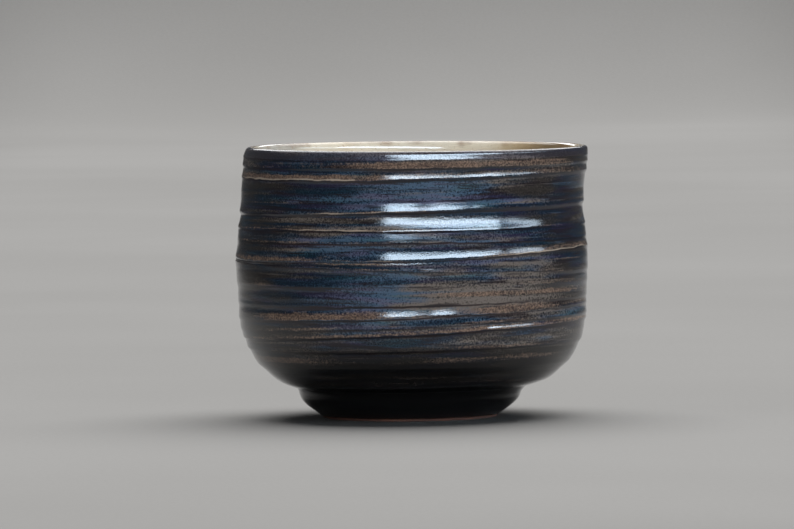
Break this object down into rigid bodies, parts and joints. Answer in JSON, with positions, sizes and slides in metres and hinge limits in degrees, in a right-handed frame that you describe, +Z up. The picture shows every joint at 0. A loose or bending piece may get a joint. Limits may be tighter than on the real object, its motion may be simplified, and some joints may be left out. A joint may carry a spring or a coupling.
{
  "type": "tea cup",
  "caption": "Handleless wheel-thrown stoneware tea cup: ringed upright wall, rounded belly, bevelled foot ring, dark glossy glaze outside, light glaze inside.",
  "frame": {"origin": "centre of the foot ring's resting plane", "axes": "+Z up along the cup's axis, -Y towards the side that the picture shows, +X to the right of it"},
  "size_m": [0.1016, 0.1016, 0.0782],
  "materials": {
    "bare_clay": "fired bare clay, matt, reddish brown",
    "dark_glaze": "glossy iron glaze, blue-black in the grooves, rust brown on the ring crests",
    "light_glaze": "glossy honey-cream glaze"
  },
  "bodies": {
    "root": {"stoneware_body": "bare_clay", "outer_glaze": "dark_glaze", "liner_glaze": "light_glaze"}
  },
  "joints": []
}
